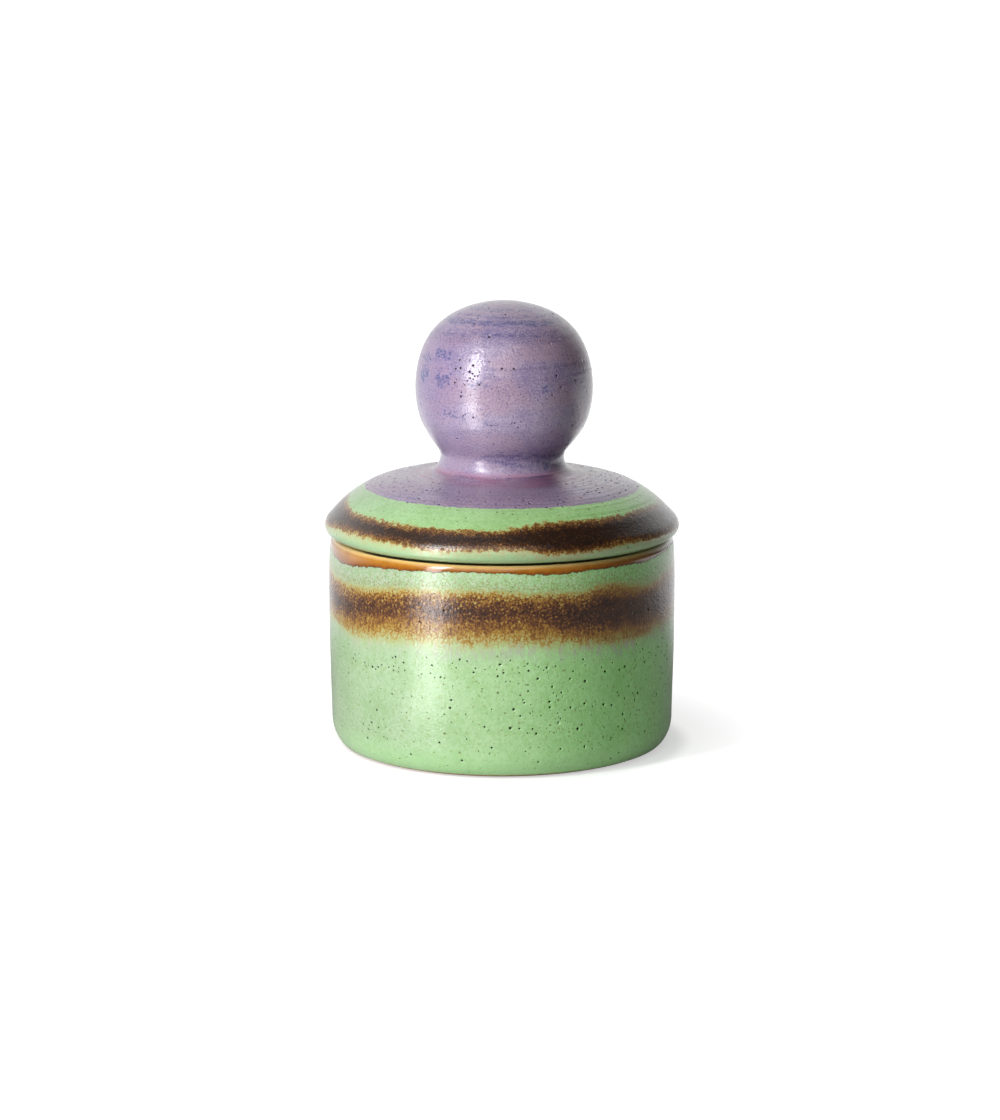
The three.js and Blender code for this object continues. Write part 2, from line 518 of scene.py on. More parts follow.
FADE_FOOT = [
    (-180, 38.6), (-120, 39.6), (-84, 40.2), (-68, 39.0), (-54, 36.4), (-38, 37.4), (-26, 37.6),
    (-10, 37.6), (3, 38.4), (17, 37.8), (32, 37.2), (47, 36.4), (60, 37.8), (80, 37.6), (110, 38.6),
    (145, 37.8), (180, 38.6),
]
LID_BAND_TOP = [
    (-180, 77.0), (-120, 77.4), (-90, 78.6), (-78, 77.8), (-66, 76.8), (-41, 76.4), (-26, 76.1),
    (-10, 76.1), (0, 76.2), (8, 77.2), (16, 77.9), (29, 77.9), (39, 77.8), (55, 78.0), (68, 77.8),
    (80, 77.4), (120, 77.4), (150, 76.6), (180, 77.0),
]
LID_BAND_FOOT = [
    (-180, 71.4), (-120, 70.8), (-80, 71.2), (-63, 72.2), (-45, 71.8), (-35, 71.6), (-23, 70.8),
    (-10, 71.3), (2, 71.6), (9, 71.2), (17, 69.8), (29, 70.0), (44, 71.1), (55, 70.6), (87, 70.6),
    (120, 70.6), (150, 72.2), (180, 71.4),
]

# How the glazes change round the jar, and the light and shade painted round it, as (angle, share) stops.
# Painted shade on the amber rim: a duller, darker amber towards both sides.
AMBER_PAINTED_SHADE = [
    (-180, 0.2), (-86, 0.5), (-76, 0.5), (-66, 0.35), (-52, 0.0), (30, 0.0), (50, 0.7), (84, 0.8),
    (120, 0.3), (180, 0.2),
]
# A painted shadow: the dark line in the gap under the lid's edge, strongest in front.
PAINTED_GAP_SHADOW = [
    (-180, 0.4), (-80, 0.0), (-62, 0.3), (-46, 1.0), (30, 1.0), (46, 0.6), (62, 0.1), (120, 0.4),
    (180, 0.4),
]
BAND_GRAIN = [
    (-180, 1.0), (-100, 0.9), (20, 1.0), (34, 0.75), (46, 0.35), (80, 0.3), (110, 0.8), (180, 1.0),
]
# Painted light and shade in the lid's green: brighter on the shaded right, less green on the lit left.
LID_PAINTED_LIGHT = [
    (-180, (0.95, 0.85, 1.0)), (-60, (0.90, 0.78, 1.0)), (-30, (0.94, 0.84, 1.0)),
    (0, (1.0, 0.90, 1.0)), (45, (1.08, 1.08, 1.02)), (90, (1.08, 1.08, 1.02)), (180, (0.95, 0.85, 1.0)),
]
# Painted light and shade in the jar's green: greyer and less green on the lit left, more saturated green on
# the shaded right.
GREEN_PAINTED_LIGHT = [
    (-180, (0.92, 0.80, 0.93)), (-90, (0.87, 0.68, 0.90)), (-35, (0.86, 0.66, 0.92)),
    (0, (1.0, 0.85, 1.0)), (40, (0.85, 0.99, 0.77)), (75, (0.85, 0.99, 0.77)),
    (120, (0.90, 0.85, 0.88)), (180, (0.92, 0.80, 0.93)),
]
NECK_SHADE = [(-180, 0.3), (-90, 0.0), (5, 0.0), (28, 0.85), (55, 1.0), (85, 0.5), (120, 0.3), (180, 0.3)]
NECK_SIDES = [(-180, 0.7), (-90, 0.3), (-45, 0.3), (-20, 0.75), (0, 1.0), (60, 1.0), (110, 0.8), (180, 0.7)]
PLUM_SIDES = [(-180, 0.7), (-90, 0.4), (-45, 0.1), (-20, 0.6), (5, 1.0), (60, 1.0), (110, 0.8), (180, 0.7)]

# Blue dabs on the knob: (angle, height, half their angle, half their height, strength).
BLUE_DABS = [
    (-47, 125.0, 12, 2.2, 0.9), (-65, 123.5, 10, 1.8, 0.7), (-64, 119.0, 12, 3.0, 0.9),
    (-43, 118.0, 10, 3.2, 0.9), (-16, 117.0, 7, 2.0, 0.6), (-60, 112.0, 12, 2.0, 0.4),
    (-32, 107.5, 20, 3.2, 0.45), (28, 115.4, 6, 1.6, 0.7), (-8, 105.5, 8, 2.5, 0.35),
    (118, 118.0, 20, 5.0, 0.8), (168, 108.0, 22, 4.0, 0.7), (-128, 111.0, 18, 5.0, 0.8),
]


def green_field(s, pale, deep, cast):
    """Satin green glaze: a faint mottle, brown and olive specks and a few yellow clouds. cast tints it
    round the piece, which paints light and shade into the green.
    """
    slow = s.noise(9.0, detail=2, roughness=0.5, seed=1)
    middle = s.noise(1.8, detail=3, roughness=0.6, seed=18)
    fine = s.noise(0.7, detail=2, roughness=0.7, seed=2)
    tone = s.add(s.mul(slow, 0.25), s.add(s.mul(middle, 0.35), s.mul(fine, 0.4)))
    colour = s.mix(s.grade(tone, 0.41, 0.59), deep, pale)
    colour = s.mix(s.mul(s.dots(1.3, 1.7, seed=8, few=1.2, edge=0.0), 0.35), colour, 0x9CC878)
    # cast paints light and shade into the glaze round the piece.
    colour = s.vector_math("MULTIPLY", colour, cast)
    colour = s.mix(s.mul(s.dots(1.7, 1.2, seed=1, few=1.2), 0.6), colour, 0x869A54)
    colour = s.mix(s.mul(s.dots(1.15, 0.70, seed=2, few=1.3), 0.65), colour, 0x7C904E)
    return s.mix(s.mul(s.dots(2.3, 1.05, seed=38, few=1.7), 0.85), colour, 0x5A5E30)


def skin(s, waves, peel, dimples, share=1.0):
    """The normal of a fired glaze's surface: slow waves, orange peel and shallow dimples, by their heights.
    share is where the surface has them."""
    broad = s.bump(s.mul(s.noise(4.5, detail=2, roughness=0.5, seed=13), share), waves)
    fine = s.bump(s.mul(s.noise(0.7, detail=2, roughness=0.6, seed=19), share), peel, broad)
    return s.bump(s.mul(s.dots(3.6, 1.7, seed=50, few=1.2, edge=0.0), share), dimples, fine, sunk=True)


def iron_band(s, under, share, grain, stops):
    """Iron brown over the glaze beneath, and its weight. share is 0 outside the band and 1 in its dark
    middle, and grain is a pattern round 0 that breaks it up."""
    reach = s.mul(s.grade(share, 0.02, 0.24), s.grade(share, 0.35, 0.75, 1.0, 0.7))
    darker = s.mul(s.most(grain, 0.0), reach)
    paler = s.mul(s.least(grain, 0.0), s.grade(share, 0.12, 0.6, 0.2, 1.05))
    weight = s.add(share, s.add(darker, paler))
    iron = s.ramp(weight, stops)
    return s.mix(s.grade(weight, -0.02, 0.26), under, iron), weight


def amber_rim(s, line):
    """The glossy amber glaze that runs down from the rim, dark where it pools, with a pale painted
    highlight along its rounded edge, painted shade towards the sides and a painted shadow under the lid.
    """
    depth = s.grade(s.z, line, RIM_HEIGHT - 0.1, soft=False)
    amber = s.ramp(depth, [
        (0.0, 0x44220A), (0.12, 0x7C4410), (0.32, 0x9A5E18),
        (0.60, 0xAE762C), (1.0, 0xBC8E46),
    ])
    pools = s.grade(s.noise(5.0, tall=2.0, detail=2, seed=51), 0.45, 0.65, 0.0, 0.35)
    amber = s.mix(pools, amber, 0x8C560E)
    # A painted highlight: pale cream along the rim's rounded top edge.
    amber = s.mix(s.grade(s.z, 64.9, 66.0, 0.0, 0.8), amber, 0xE2BE7C)
    # Painted shade: the amber turns a duller, darker brown towards the sides, more so low down.
    side_shade = s.mul(s.around(AMBER_PAINTED_SHADE), s.grade(depth, 0.95, 0.4, 0.4, 0.8))
    amber = s.mix(side_shade, amber, 0x6E4628)
    # A painted shadow: a near-black line on the rim's top where it lies under the lid's edge.
    gap_shadow = s.mul(s.mul(s.grade(s.z, 65.95, 66.15), s.grade(s.r, 50.2, 50.8)), s.around(PAINTED_GAP_SHADOW))
    return s.mix(gap_shadow, amber, 0x120B06)


def mint_zone(s, green, cast, gold_line, dark_line, fade_line, runs):
    """The paler green round the iron band: a greyish veil in runs below it, brown grit at its gold edge."""
    broad_runs = s.sub(s.noise(2.2, tall=2.6, detail=3, seed=15), 0.5)
    fading_in = s.grade(s.z, s.sub(fade_line, 3.5), s.add(fade_line, 3.5))
    below = s.mul(fading_in, s.grade(s.z, s.add(dark_line, 4.0), dark_line))
    veil = s.mul(below, s.grade(s.add(s.mul(runs, 0.8), broad_runs), -0.06, 0.12, 0.12, 0.95))
    green = s.mix(veil, green, 0xA8B29C)
    mottle = s.grade(s.noise(1.3, tall=1.2, detail=4, roughness=0.65, seed=16), 0.42, 0.60)
    # The mint takes the same tint of painted light and shade.
    mint = s.vector_math("MULTIPLY", s.mix(mottle, 0x9ACE88, 0xAED6A0), cast)
    near_gold = s.grade(s.z, s.add(gold_line, 4.0), gold_line, 0.12, 0.75)
    grains = s.noise(0.6, detail=2, roughness=0.7, seed=10)
    grit = s.grade(s.add(grains, s.mul(near_gold, 0.17)), 0.54, 0.70)
    mint = s.mix(s.mul(grit, 0.75), mint, 0x8A8452)
    mint = s.mix(s.mul(s.dots(1.1, 0.75, seed=52, few=1.6), 0.8), mint, 0x5E6034)
    return s.mix(s.grade(s.z, s.sub(dark_line, 1.0), s.add(dark_line, 3.0)), green, mint)


def jar_material():
    s = new_material("jar_glaze")
    s.place()
    # cast is the tint of painted light and shade round the jar.
    cast = s.ramp(s.turn, [((angle + 180) / 360, [*shares, 1.0]) for angle, shares in GREEN_PAINTED_LIGHT])
    green = green_field(s, 0xAEE29D, 0x9CD488, cast)
    # Painted light: the green turns paler towards the foot, standing in for light bounced up from the
    # floor.
    green = s.mix(s.grade(s.z, 12.0, 2.0, 0.0, 0.5), green, 0xB4E6A0)

    scallop = s.swing(1.3, 2.2, tall=3, seed=7)
    scallop = s.add(scallop, s.swing(0.9, 0.8, seed=8))
    rim_line = s.add(s.around(AMBER_FOOT), scallop)
    gold_line, dark_line, fade_line = (s.around(stops) for stops in (GOLD_TOP, DARK_FOOT, FADE_FOOT))
    runs = s.sub(s.noise(0.7, tall=4.0, detail=3, roughness=0.6, seed=9), 0.5)
    colour = mint_zone(s, green, cast, gold_line, dark_line, fade_line, runs)

    rising = s.ramp(s.grade(s.z, s.add(gold_line, 1.0), s.sub(gold_line, 6.5), soft=False),
                    [(0.0, 0.0), (0.3, 0.24), (0.6, 0.62), (1.0, 1.0)])
    climb = s.math("DIVIDE", s.sub(s.z, fade_line), s.sub(dark_line, fade_line))
    falling = s.ramp(s.mul(climb, 0.5), [
        (0.0, 0.0), (0.17, 0.16), (0.30, 0.36), (0.42, 0.62), (0.52, 0.84), (0.62, 1.0),
    ])
    share = s.mul(s.least(rising, falling), 0.71)
    lower = s.grade(s.z, s.add(dark_line, 2.0), s.sub(dark_line, 1.5))
    spots = s.mul(s.mul(s.leopard(0.95, seed=4), s.around(BAND_GRAIN)), s.blend(lower, 1.0, 0.6))
    drift = s.swing(0.5, 6.0, tall=0.5, detail=2, seed=6)
    streak = s.mul(runs, s.blend(lower, 0.1, 0.65))
    colour, weight = iron_band(s, colour, share, s.add(spots, s.add(drift, streak)), IRON)

    is_amber = s.grade(s.z, s.sub(rim_line, 0.12), s.add(rim_line, 0.12))
    colour = s.mix(is_amber, colour, amber_rim(s, rim_line))
    # Painted shade: the pits' hollows are near black.
    colour = s.mix(s.attribute("pit"), colour, 0x161A0C)

    uneven = s.swing(0.2, 2.0, detail=3, seed=12)
    rough = s.add(s.blend(is_amber, 0.42, 0.12), s.mul(uneven, s.sub(1.0, is_amber)))
    surface = skin(s, 0.13, 0.13, 0.16, s.blend(is_amber, 1.0, 0.1))
    grain = s.bump(s.sub(weight, is_amber), 0.02, surface)
    gloss = s.mul(s.blend(is_amber, 0.78, 1.0), s.sub(1.0, s.attribute("pit")))
    return s.surface(colour, rough, grain, Specular_IOR_Level=0.18, Coat_Weight=gloss, Coat_Roughness=0.08,
                     Coat_Normal=surface)


def mauve_field(s, pale, deep, pink, flush):
    """Mauve glaze with a pink cast up to flush and fine brushed lines."""
    slow = s.noise(8.0, detail=3, roughness=0.6, seed=20)
    fine = s.noise(0.9, detail=3, roughness=0.7, seed=21)
    lines = s.ring_noise(0.7, 14.0, detail=3, roughness=0.6, seed=27)
    salt = s.noise(0.42, detail=2, roughness=0.8, seed=56)
    tone = s.add(s.add(s.mul(slow, 0.3), s.mul(fine, 0.25)), s.add(s.mul(lines, 0.2), s.mul(salt, 0.4)))
    colour = s.mix(s.grade(tone, 0.47, 0.68), deep, pale)
    cast = s.grade(s.noise(16.0, tall=0.5, detail=2, seed=22), 0.42, 0.60, 0.0, flush)
    return s.mix(cast, colour, pink)


def purple_grain(s, colour, share):
    """Fine purple grain and dark points over the mauve glaze."""
    grains = s.grade(s.noise(0.5, detail=2, roughness=0.75, seed=28), 0.46, 0.66, 0.0, share)
    colour = s.mix(grains, colour, 0x5F5480)
    return s.mix(s.mul(s.dots(1.5, 0.65, seed=53, few=1.8), 0.8), colour, 0x3E3050)


def dry_brush(s, colour, area, wash, stroke, strength):
    """A dry brush dragged round the axis over an area of a glaze: a thin wash with broken strokes in it."""
    bristles = s.ring_noise(0.6, 10.0, detail=4, roughness=0.7, seed=23)
    broken = s.noise(0.65, detail=3, roughness=0.8, seed=24)
    cover = s.add(s.mul(bristles, 0.5), s.mul(broken, 0.5))
    clouds = s.swing(1.7, 1.4, detail=3, roughness=0.6, seed=39)
    patchy = s.grade(s.add(area, clouds), 0.15, 1.0)
    thin = s.mul(patchy, 0.45)
    thick = s.grade(s.add(cover, s.mul(patchy, 0.12)), 0.54, 0.66, 0.0, strength)
    thick = s.mul(thick, s.grade(area, 0.0, 0.5))
    return s.mix(thick, s.mix(thin, colour, wash), stroke)


def knob_material():
    s = new_material("knob_glaze")
    s.place(KNOB_FOOT + 26.6)
    upper = mauve_field(s, 0xAE9FB5, 0x8A7B99, 0xB0949F, 0.6)
    # Painted shade: the knob's left side, which faces the lamps, is darker.
    upper = s.mix(s.grade(s.x, -6.0, -22.0, 0.0, 0.6), upper, 0x877799)
    colour = s.mix(s.grade(s.z, 113.0, 104.0, 0.0, 0.35), upper, 0xAEA1BC)
    colour = purple_grain(s, colour, 0.6)

    waver = s.swing(2.4, 14.0, detail=2, seed=54)
    height = s.grade(s.add(s.z, waver), 88.0, 140.0, soft=False)
    neck_blue = s.ramp(height, [(0.0, 0.3), (0.04, 0.45), (0.11, 0.7), (0.16, 0.2), (0.20, 0.0)])
    crown_blue = s.ramp(height, [
        (0.80, 0.0), (0.83, 0.55), (0.86, 0.45), (0.872, 0.3), (0.888, 0.9), (0.905, 0.7),
        (0.915, 0.2), (0.925, 0.7), (0.94, 0.1), (0.955, 0.6), (1.0, 0.1),
    ])
    blue_bands = s.most(crown_blue, s.mul(neck_blue, s.around(NECK_SIDES)))
    ragged = s.swing(3.0, 2.6, tall=0.8, detail=3, roughness=0.6, seed=58)
    dabs = 0.0
    for angle, level, half_angle, half_height, strength in BLUE_DABS:
        dabs = s.most(dabs, s.mul(s.patch(angle, level, half_angle, half_height, ragged), strength))
    blots = s.add(s.noise(0.95, tall=0.75, detail=4, roughness=0.75, seed=57), s.mul(dabs, 0.13))
    colour = s.mix(s.mul(dabs, 0.18), colour, 0x7E79A0)
    strokes = s.mul(s.grade(blots, 0.56, 0.66), s.grade(dabs, 0.0, 0.5, 0.0, 0.85))
    colour = s.mix(strokes, colour, 0x484E80)
    colour = dry_brush(s, colour, blue_bands, 0x7E79A0, 0x464A7A, 0.75)

    low_plum = s.ramp(height, [
        (0.0, 0.1), (0.06, 0.3), (0.12, 0.65), (0.16, 0.5), (0.20, 0.1), (0.30, 0.0), (0.42, 0.0),
        (0.50, 0.45), (0.60, 0.4), (0.632, 0.1), (0.643, 0.8), (0.647, 0.8), (0.658, 0.1), (1.0, 0.0),
    ])
    crown_plum = s.ramp(height, [
        (0.73, 0.0), (0.772, 0.1), (0.792, 0.65), (0.832, 0.55), (0.86, 0.2), (1.0, 0.15),
    ])
    plum = s.most(crown_plum, s.mul(low_plum, s.around(PLUM_SIDES)))
    colour = s.mix(s.mul(plum, 0.30), colour, 0x7F7096)
    grains = s.noise(0.55, tall=0.7, detail=3, roughness=0.75, seed=55)
    grit = s.grade(s.add(grains, s.mul(plum, 0.13)), 0.56, 0.68)
    colour = s.mix(s.mul(grit, s.mul(plum, 0.85)), colour, 0x463660)
    colour = s.mix(s.grade(s.z, 89.2, 87.6, 0.0, 0.6), colour, 0xA2708C)
    # Painted shade: the pits' hollows are near black.
    colour = s.mix(s.attribute("pit"), colour, 0x2A1420)
    rough = s.add(0.32, s.swing(0.2, 2.0, detail=3, seed=25))
    surface = skin(s, 0.08, 0.10, 0.16)
    gloss = s.mul(0.76, s.sub(1.0, s.attribute("pit")))
    return s.surface(colour, rough, surface, Specular_IOR_Level=0.25, Coat_Weight=gloss,
                     Coat_Roughness=0.07, Coat_Normal=surface)


def lid_material():
    s = new_material("lid_glaze")
    s.place()
    mauve = mauve_field(s, 0xA393AA, 0x7D6E8A, 0x957F93, 0.85)
    shade = s.mul(s.grade(s.r, 32.0, 27.0), s.around(NECK_SHADE))
    mauve = s.mix(shade, mauve, 0x5E4860)
    red_lines = s.grade(s.ring_noise(0.8, 16.0, detail=3, roughness=0.6, seed=34), 0.44, 0.58, 0.12, 1.0)
    red = s.mul(s.mul(s.grade(s.r, 30.0, 27.0), s.grade(s.z, 88.4, 87.6)), red_lines)
    mauve = s.mix(s.mul(red, 0.75), mauve, 0x985C74)
    mauve = purple_grain(s, mauve, 0.85)
    trough = s.grade(s.attribute("ring"), -0.1, -0.9, 0.0, 0.5)
    mauve = s.mix(trough, mauve, 0x584868)

    # cast is the tint of painted light and shade round the lid.
    cast = s.ramp(s.turn, [((angle + 180) / 360, [*shares, 1.0]) for angle, shares in LID_PAINTED_LIGHT])
    green = green_field(s, 0x9DCD88, 0x8CBE74, cast)
    green = s.mix(s.grade(s.z, 73.5, 70.5, 0.0, 0.6), green, 0x9CBC92)
    edge = s.add(42.9, s.swing(1.0, 3.0, detail=3, seed=31))
    colour = s.mix(s.grade(s.r, s.sub(edge, 0.12), s.add(edge, 0.12)), mauve, green)

    ragged = s.swing(3.2, 1.5, detail=3, roughness=0.6, seed=36)
    top_line, foot_line = (s.add(s.around(stops), ragged) for stops in (LID_BAND_TOP, LID_BAND_FOOT))
    haze_top = s.grade(s.z, s.add(foot_line, 3.0), s.add(foot_line, 1.0))
    low_haze = s.mul(s.grade(s.z, s.sub(foot_line, 3.6), foot_line), haze_top)
    low_haze = s.mul(low_haze, s.grade(s.noise(0.8, detail=3, seed=37), 0.4, 0.6, 0.25, 0.85))
    colour = s.mix(low_haze, colour, 0xB49A74)
    rising = s.grade(s.z, s.add(top_line, 0.6), s.sub(top_line, 1.8), soft=False)
    falling = s.grade(s.z, s.sub(foot_line, 1.0), s.add(foot_line, 2.0), soft=False)
    share = s.mul(s.least(rising, falling), 0.85)
    spots = s.mul(s.leopard(0.78, seed=35), 0.8)
    colour, weight = iron_band(s, colour, share, spots, IRON_ON_LID)

    # Painted shade: the pits' hollows are near black.
    colour = s.mix(s.attribute("pit"), colour, 0x1E1624)
    rough = s.add(0.30, s.swing(0.14, 2.0, detail=3, seed=32))
    surface = skin(s, 0.10, 0.12, 0.16)
    grain = s.bump(weight, 0.015, surface)
    gloss = s.mul(0.75, s.sub(1.0, s.attribute("pit")))
    return s.surface(colour, rough, grain, Specular_IOR_Level=0.2, Coat_Weight=gloss, Coat_Roughness=0.1,
                     Coat_Normal=surface)


def liner_material():
    """The glossy amber glaze inside the jar and under the lid."""
    s = new_material("amber_liner")
    s.place()
    pool = s.grade(s.noise(7.0, detail=3, seed=11), 0.38, 0.62)
    colour = s.mix(pool, 0xC08238, 0xD7A05A)
    lines = s.grade(s.noise(1.2, tall=0.4, detail=3, seed=43), 0.45, 0.65, 0.0, 0.4)
    colour = s.mix(lines, colour, 0xA3641F)
    colour = s.mix(s.mul(s.dots(2.2, 0.7, seed=7), 0.8), colour, 0x5C3412)
    peel = s.bump(s.noise(3.0, detail=2, seed=44), 0.12)
    return s.surface(colour, s.add(0.14, s.mul(s.noise(3.0, seed=45), 0.08)), peel)


def clay_material():
    s = new_material("bare_clay")
    s.place()
    tone = s.grade(s.noise(1.2, detail=4, roughness=0.65, seed=40), 0.35, 0.65)
    colour = s.mix(tone, 0xC08A5E, 0xD3A378)
    colour = s.mix(s.mul(s.dots(1.4, 0.6, seed=5), 0.8), colour, 0x6B4228)
    grit = s.bump(s.noise(0.35, detail=3, roughness=0.7, seed=41), 0.07)
    return s.surface(colour, s.add(0.78, s.mul(s.noise(1.0, seed=42), 0.1)), grit)


def jar_outline():
    """From the middle of the base, out over the foot, up the wall, over the rim and down inside."""
    o = Outline()
    foot_bore = FOOT_RADIUS - FOOT_WIDTH
    o.line((0, FOOT_RECESS), (foot_bore - 2.0, FOOT_RECESS), 1.0, "clay")
    o.arc((foot_bore - 2.0, FOOT_RECESS - 0.9), 90, 20, 0.9, 0.2, "clay")
    o.line(o.points[-1], (foot_bore, 0.25), 0.3, "clay")
    o.arc((foot_bore + 0.35, 0.35), 200, 270, 0.35, 0.12, "clay")
    o.line(o.points[-1], (FOOT_RADIUS - 0.2, 0.0), 0.8, "clay")
    corner = (FOOT_RADIUS, CORNER_RISE)
    across = BODY_RADIUS - FOOT_RADIUS
    o.arc(corner, -88, -63, across - GLAZE_STEP, 0.18, "clay", CORNER_RISE - GLAZE_STEP)
    o.arc(corner, -62, 0, across, 0.5, "glaze", CORNER_RISE)
    o.bezier([
        (BODY_RADIUS, CORNER_RISE), (BODY_RADIUS + 0.05, 30.0),
        (BELLY_RADIUS + 0.45, 44.0), (BODY_RADIUS, RIM_HEIGHT - RIM_ROUNDING),
    ], 0.8, "glaze")
    outer = (BODY_RADIUS - RIM_ROUNDING, RIM_HEIGHT - RIM_ROUNDING)
    o.arc(outer, 0, 90, RIM_ROUNDING, 0.3, "glaze")
    inner = (MOUTH_RADIUS + MOUTH_ROUNDING, RIM_HEIGHT - MOUTH_ROUNDING)
    o.arc(inner, 90, 180, MOUTH_ROUNDING, 0.3, "glaze")
    o.line(o.points[-1], (MOUTH_RADIUS + 0.1, FLOOR_TOP + FLOOR_FILLET), 1.6, "inside")
    o.arc((MOUTH_RADIUS - 7.9, FLOOR_TOP + FLOOR_FILLET), 0, -90, FLOOR_FILLET, 0.9, "inside")
    o.line(o.points[-1], (0.0, FLOOR_TOP), 1.6, "inside")
    return o


def lid_outline():
    """From the knob's joint, down its hole, over the underside and the flange, and back up the dome."""
    o = Outline()
    joint = (WAIST[0] + WAIST_ROUNDING * math.cos(math.radians(JOINT_ANGLE)),
             WAIST[1] + WAIST_ROUNDING * math.sin(math.radians(JOINT_ANGLE)))
    underside = CROWN_HEIGHT - LID_THICKNESS
    spring = SEAT_HEIGHT + UNDERSIDE_SPRING
    fillet = FLANGE_FILLET
    tip = FLANGE_RADIUS - FLANGE_BORE
    o.line(joint, (NECK_BORE, joint[1]), 1.2, "inside")
    o.line(o.points[-1], (NECK_BORE, underside + fillet), 0.8, "inside")
    o.arc((NECK_BORE + fillet, underside + fillet), 180, 270, fillet, 0.3, "inside")
    across = FLANGE_BORE - NECK_BORE - fillet
    o.arc((NECK_BORE + fillet, spring), 90, 0, across, 0.9, "inside", underside - spring)
    o.line(o.points[-1], (FLANGE_BORE, FLANGE_TIP + tip / 2), 0.9, "inside")
    o.arc((FLANGE_RADIUS - tip / 2, FLANGE_TIP + tip / 2), 180, 360, tip / 2, 0.35, "clay")
    o.line(o.points[-1], (FLANGE_RADIUS, SEAT_HEIGHT - fillet), 0.8, "clay")
    o.arc((FLANGE_RADIUS + fillet, SEAT_HEIGHT - fillet), 180, 90, fillet, 0.25, "clay")
    o.line(o.points[-1], (LID_RADIUS - LOWER_ROUNDING, SEAT_HEIGHT), 0.6, "clay")
    o.arc((LID_RADIUS - LOWER_ROUNDING, EDGE_HEIGHT), -90, 0, LOWER_ROUNDING, 0.35, "glaze")
    edge = (LID_RADIUS - UPPER_ROUNDING, EDGE_HEIGHT)
    o.arc(edge, 0, UPPER_SWEEP, UPPER_ROUNDING, 0.4, "glaze")
    start = o.points[-1]
    slope = math.radians(UPPER_SWEEP)
    reach = (CROWN_HEIGHT - start[1]) / math.cos(slope)
    meeting = (start[0] - reach * math.sin(slope), CROWN_HEIGHT)
    end = (WAIST[0], CROWN_HEIGHT)
    o.bezier([
        start, tuple(a + 0.6 * (b - a) for a, b in zip(start, meeting)),
        tuple(a + 0.7 * (b - a) for a, b in zip(end, meeting)), end,
    ], 0.34, "glaze")
    o.arc(WAIST, 270, JOINT_ANGLE, WAIST_ROUNDING, 0.15, "glaze")
    o.crease()
    o.creases.add(0)
    return o


def knob_outline():
    """From the top of the hollow, down inside, over the foot, and up the outside of the ball."""
    lower, side_radius, shoulder_radius = 32.0, 29.6, 21.9
    side_sweep, shoulder_end = 21.5, 66.3
    wall = KNOB_WALL
    lower_x = KNOB_RADIUS - lower
    reach = lower + WAIST_ROUNDING
    rise = math.sqrt(reach**2 - (WAIST[0] - lower_x) ** 2)
    widest = WAIST[1] + rise
    start = -math.degrees(math.asin(rise / reach))
    side = (KNOB_RADIUS - side_radius, widest)
    turn = math.radians(side_sweep)
    shoulder = (side[0] + (side_radius - shoulder_radius) * math.cos(turn),
                side[1] + (side_radius - shoulder_radius) * math.sin(turn))
    turn = math.radians(shoulder_end)
    crown_end = (shoulder[0] + shoulder_radius * math.cos(turn),
                 shoulder[1] + shoulder_radius * math.sin(turn))
    crown_radius = crown_end[0] / math.cos(turn)
    crown = (0.0, crown_end[1] - crown_radius * math.sin(turn))
    o = Outline()
    o.arc(crown, 90, shoulder_end, crown_radius - wall, 1.2, "inside")
    o.arc(shoulder, shoulder_end, side_sweep, shoulder_radius - wall, 1.2, "inside")
    o.arc(side, side_sweep, 0, side_radius - wall, 1.2, "inside")
    o.arc((lower_x, widest), 0, start, lower - wall, 1.2, "inside")
    o.arc(WAIST, 180 + start, 180, WAIST_ROUNDING + wall, 0.8, "inside")
    foot = WAIST[1] + WAIST_ROUNDING * math.sin(math.radians(JOINT_ANGLE))
    o.line(o.points[-1], (NECK_BORE, foot), 0.9, "inside")
    joint = WAIST[0] + WAIST_ROUNDING * math.cos(math.radians(JOINT_ANGLE))
    o.line(o.points[-1], (joint, foot), 1.2, "inside")
    o.crease()
    o.arc(WAIST, JOINT_ANGLE, 180 + start, WAIST_ROUNDING, 0.15, "glaze")
    o.arc((lower_x, widest), start, 0, lower, 0.55, "glaze")
    o.arc(side, 0, side_sweep, side_radius, 0.55, "glaze")
    o.arc(shoulder, side_sweep, shoulder_end, shoulder_radius, 0.55, "glaze")
    o.arc(crown, shoulder_end, 90, crown_radius, 0.55, "glaze")
    for end in (0, -1):
        o.points[end] = (0.0, o.points[end][1])
    return o


def jar_relief(angle, r, z, run):
    """A slightly fuller, wavy wall, and shallow turning marks under the foot and inside."""
    outside = (r > MOUTH_RADIUS + 2) & (z > 2)
    fullness = np.interp(z, (10, 22, 63, 66), (0.0, 0.22, 0.25, 0.1))
    stand = (0.10 * waves(angle, z, 16.0, 1) + fullness) * outside
    base = (z < 2) & (r < FOOT_RADIUS - FOOT_WIDTH - 2)
    stand = stand + 0.05 * np.sin(r * math.tau / 2.6) * base
    within = (r < MOUTH_RADIUS + 0.5) & (z > 3)
    stand = stand + 0.04 * np.sin(run * math.tau / 5.5) * within
    return stand, np.zeros(len(r))


